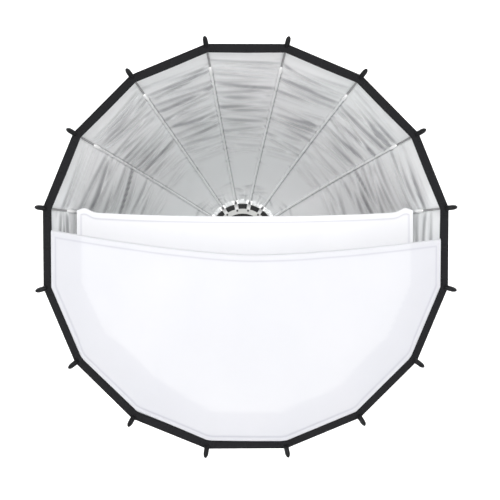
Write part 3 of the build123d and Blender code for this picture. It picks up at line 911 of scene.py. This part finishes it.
def folded_sheet(
    node, material, corner_r, depth, back, top_edge, low_edge, lean, flap_scale, seed, behind=None
):
    """A sheet folded over a sagging line near its middle, with its upper half hanging behind as a flap.

    top_edge gives the folded edge's height at each place across, and low_edge how far the lower edge stops
    short of the full cut. behind, if given, is the inner sheet's lower edge behind this one: below it and out
    past its ends the front gets a painted shade, standing in for the whiter look where two sheets lie one
    behind the other.
    """
    draw = random.Random(seed)
    turns_across = np.linspace(-math.pi / 2, math.pi / 2, DIFFUSER_COLUMNS)
    x = corner_r * math.cos(HALF) * np.sin(turns_across) * SIDE_TRIM
    low = low_edge(x) - polygon_z(x, corner_r)
    top = top_edge(x)
    roll_r = back / 2
    fold = top - roll_r
    waves = [drawn(draw, RIPPLE) for _ in range(RIPPLES)]
    ripple = sum(wave["height"] * np.sin(wave["pace"] * x / RIPPLE_SPAN + wave["start"]) for wave in waves)

    slant = np.minimum(np.sqrt(1 + np.gradient(low, x) ** 2), STEEPEST)
    z = front_heights(low, fold, slant)
    up = np.clip((z - low) / (fold - low), 0, 1)
    billow = lean * np.sin(math.pi * up) * (1 - (x / x[-1]) ** 2)
    front = layer(x, -(depth + billow + ripple * up**3), z)

    turn = np.linspace(0, math.pi, ROLL_ROWS + 2)[1:-1, None]
    roll_y = -(depth + ripple - roll_r + roll_r * np.cos(turn))
    roll = layer(x, roll_y, fold + roll_r * np.sin(turn))

    down = np.linspace(0, 1, FLAP_ROWS)[:, None]
    drop = (polygon_z(x, corner_r) - top) * flap_scale
    swing = FLAP_SWING * down * np.sin(FLAP_SWING_PACE * x / RIPPLE_SPAN) ** 2
    flap_y = -(depth - back + ripple * (1 - down) + 0.5 * ripple * down - swing)
    flap = layer(x * (1 - FLAP_NARROWING * down**0.5), flap_y, fold - drop * down)

    # tint: a darker line along the hem's seam, and on the outer sheet a painted shade below the inner sheet's
    # edge.
    from_edge = np.minimum(np.minimum((z - low) / slant, fold - z), x[-1] - np.abs(x))
    tint = hump(from_edge - SEAM_IN, SEAM_W)
    if behind is not None:
        covered = np.clip((z - behind(x)) / SHOW_BLEND, 0, 1)
        tint = np.clip(tint + SINGLE_LAYER_SHADE * (1 - covered), 0, 1)
    shade = np.concatenate([tint, np.zeros((ROLL_ROWS + FLAP_ROWS, DIFFUSER_COLUMNS))])

    points = np.concatenate([front, roll, flap])
    rows = len(points)
    uv = np.stack(np.broadcast_arrays(x, np.linspace(0, 2 * corner_r, rows)[:, None]), -1)
    offset = grid_normals(points) * (SHEET_T / 2) * hem_profile(rows, len(x))[..., None]
    name = f"{node}_cloth"
    piece = closed_shell(name, points - offset, points + offset, uv, [material, material],
                         shade=shade, shade_behind=True)
    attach(piece, node)
    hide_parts(node)


def hem_profile(rows, columns):
    """The sheet's thickness as a multiple of one layer: double in the hem round its edge."""
    edge = np.full((rows, columns), HEM_LAYERS)
    edge[4:-3, 4:-4] = 1.0
    return edge


def make_diffusers():
    """Both diffusers. Each edge is a height in metres for the places across the sheet."""
    inner_low, inner_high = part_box("inner_diffuser")
    outer_low, outer_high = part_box("outer_diffuser")
    inner_r = inner_high.x / math.cos(HALF)
    outer_r = outer_high.x / math.cos(HALF)
    # The inner sheet's outline as it stands behind the outer one, which bounds the outer sheet's painted
    # shade.
    seen_reach = 0.93 * inner_high.x
    seen_r = 0.95 * inner_r

    def inner_top(x):
        """A sagging edge that rises to its held corners, with a small hump beside each."""
        share = np.abs(x) / inner_high.x
        return 0.066 + 0.011 * share**2.2 + 0.009 * hump(share - 0.955, 0.04)

    def outer_top(x):
        """A deeper sag that is a little lower on the right."""
        share = x / outer_high.x
        return -0.0145 + 0.044 * np.abs(share) ** 1.5 - 0.010 * share

    def inner_bottom(x):
        """Two places where the inner sheet hangs short of its cut."""
        return 0.030 * hump(x + 0.24, 0.10) + 0.010 * hump(x - 0.27, 0.07)

    def outer_bottom(x):
        """One place where the outer sheet hangs a little short of its cut."""
        return 0.004 * hump(x + 0.20, 0.15)

    def painted_shade_edge(x):
        """The inner sheet's lower edge behind the outer one: the outer sheet gets its painted shade below it.
        """
        inside = np.clip(x, -seen_reach, seen_reach)
        edge = inner_bottom(inside) - polygon_z(inside, seen_r)
        return np.where(np.abs(x) < seen_reach, edge, RIM_R)

    folded_sheet("inner_diffuser", INNER_DIFFUSER, inner_r, depth=-inner_low.y - INNER_INSET, back=0.008,
                 top_edge=inner_top, low_edge=inner_bottom, lean=0.002, flap_scale=0.98, seed=11)
    folded_sheet("outer_diffuser", OUTER_DIFFUSER, outer_r, depth=-outer_low.y - OUTER_INSET, back=0.010,
                 top_edge=outer_top, low_edge=outer_bottom, lean=-0.001, flap_scale=0.90, seed=12,
                 behind=painted_shade_edge)


# ---- hub ----
def dress(node, material, bevel=0.0003):
    """A CAD node that stays, with its material and slightly rounded edges."""
    item = frame["nodes"][node]
    item.data.materials.clear()
    item.data.materials.append(material)
    rounding = item.modifiers.new("rounded_edges", "BEVEL")
    rounding.width = bevel
    rounding.segments = 2
    rounding.limit_method = "ANGLE"
    rounding.angle_limit = math.radians(40)
    rounding.harden_normals = False


SPRING_START = 0.0845
SPRING_END = 0.0911
SPRING_R = 0.0044
SPRING_WIRE_R = 0.0004
SPRING_TURNS = 4.5
SPRING_POINTS = 180
WIRE_SIDES = 8


def make_springs():
    """A coil spring under each release button, fixed to the hub: it is not pressed together as the button
    goes in.
    """
    for name, way in (("left", -1), ("right", 1)):
        low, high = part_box(f"release_button_{name}")
        depth = -(low.y + high.y) / 2
        along = np.linspace(0, 1, SPRING_POINTS)
        turn = 2 * math.pi * SPRING_TURNS * along
        x = way * (SPRING_START + (SPRING_END - SPRING_START) * along)
        centre = np.stack([x, -depth + SPRING_R * np.cos(turn), SPRING_R * np.sin(turn)], -1)
        ahead = np.gradient(centre, axis=0)
        ahead /= np.linalg.norm(ahead, axis=1, keepdims=True)
        out = np.stack([0 * turn, np.cos(turn), np.sin(turn)], -1)
        up = np.cross(ahead, out)
        around = np.linspace(0, 2 * math.pi, WIRE_SIDES, endpoint=False)[None, :, None]
        wire = np.cos(around) * out[:, None] + np.sin(around) * up[:, None]
        points = (centre[:, None] + SPRING_WIRE_R * wire).reshape(-1, 3)
        faces = tube_faces(SPRING_POINTS, WIRE_SIDES)
        piece = new_piece(f"button_spring_{name}", points, faces, [PLAIN_STEEL])
        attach(piece, "hub")
        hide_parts("button_springs")
        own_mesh(piece)


def make_hub():
    """Materials and rounded edges for the hub's CAD nodes, which stay."""
    dress("hub_body", BLACK_PLASTIC)
    dress("cover_ring", GREY_PLASTIC)
    dress("cover_screws", BLACK_STEEL, 0.0002)
    dress("hinge_pins", PLAIN_STEEL, 0.0002)
    dress("adapter_plate", ANODISED)
    dress("adapter_screws", BLACK_STEEL, 0.0002)
    dress("runner_ring", BLACK_PLASTIC)
    for side in ("left", "right"):
        dress(f"release_button_{side}", BLACK_PLASTIC, 0.0006)
    for number in range(1, RIB_COUNT + 1):
        dress(f"rib_bracket_{number:02d}", WHITE_PLASTIC, 0.0005)


# ---- floor and light ----
FLOOR_BELOW = 0.55
FLOOR_REACH = 9.0
WALL_BEHIND = 4.6
WALL_RISE = 6.0
BEND_R = 1.5
BEND_STEPS = 12


def make_stage():
    """A pale floor that curves up into a wall well behind the object."""
    floor_z = cad_low.z - FLOOR_BELOW
    wall_y = cad_high.y + WALL_BEHIND
    profile = [(-FLOOR_REACH, floor_z), (wall_y - BEND_R, floor_z)]
    for i in range(1, BEND_STEPS + 1):
        turn = math.pi / 2 * i / BEND_STEPS
        y = wall_y - BEND_R + BEND_R * math.sin(turn)
        z = floor_z + BEND_R - BEND_R * math.cos(turn)
        profile.append((y, z))
    profile.append((wall_y, floor_z + WALL_RISE))
    points = [(x, y, z) for y, z in profile for x in (-FLOOR_REACH, FLOOR_REACH)]
    faces = [(2 * i, 2 * i + 1, 2 * i + 3, 2 * i + 2) for i in range(len(profile) - 1)]
    nodes = Nodes("pale_floor")
    nodes.base((0.95, 0.95, 0.95), 0.9)
    patches = nodes.noise(object_place(nodes), 3.0)
    nodes.feed("Base Color", nodes.ramp(patches, 0.3, 0.7, ((0.94, 0.94, 0.94), (0.96, 0.96, 0.96))))
    new_piece("floor", points, faces, [nodes.material])


def area_light(name, place_at, target, size, power):
    """A rectangular light, which the camera doesn't see."""
    data = bpy.data.lights.new(name, "AREA")
    data.shape = "RECTANGLE"
    data.size, data.size_y = size
    data.energy = power
    light = bpy.data.objects.new(name, data)
    bpy.context.scene.collection.objects.link(light)
    light.visible_camera = False
    light.location = place_at
    light.rotation_euler = (Vector(target) - Vector(place_at)).to_track_quat("-Z", "Y").to_euler()


def make_lights():
    """White surroundings, a key and a fill in front, and a light on the wall behind."""
    world = bpy.data.worlds.new("studio")
    world.use_nodes = True
    background = world.node_tree.nodes["Background"]
    background.inputs["Color"].default_value = (1, 1, 1, 1)
    background.inputs["Strength"].default_value = 0.80
    bpy.context.scene.world = world
    centre = (0, -RIM_DEPTH / 2, 0)
    area_light("key_light", (-0.35, -4.2, 0.8), centre, (0.8, 0.8), 84)
    area_light("fill_light", (2.2, -2.6, 0.9), centre, (1.8, 1.8), 4)
    area_light("backdrop_light", (0, 1.9, 3.6), (0, 3.6, -0.9), (5.0, 1.6), 260)
    bpy.context.scene.view_settings.view_transform = "Standard"


make_canopy()
make_throat()
make_band()
make_ribs()
make_diffusers()
make_hub()
make_springs()
make_stage()
make_lights()
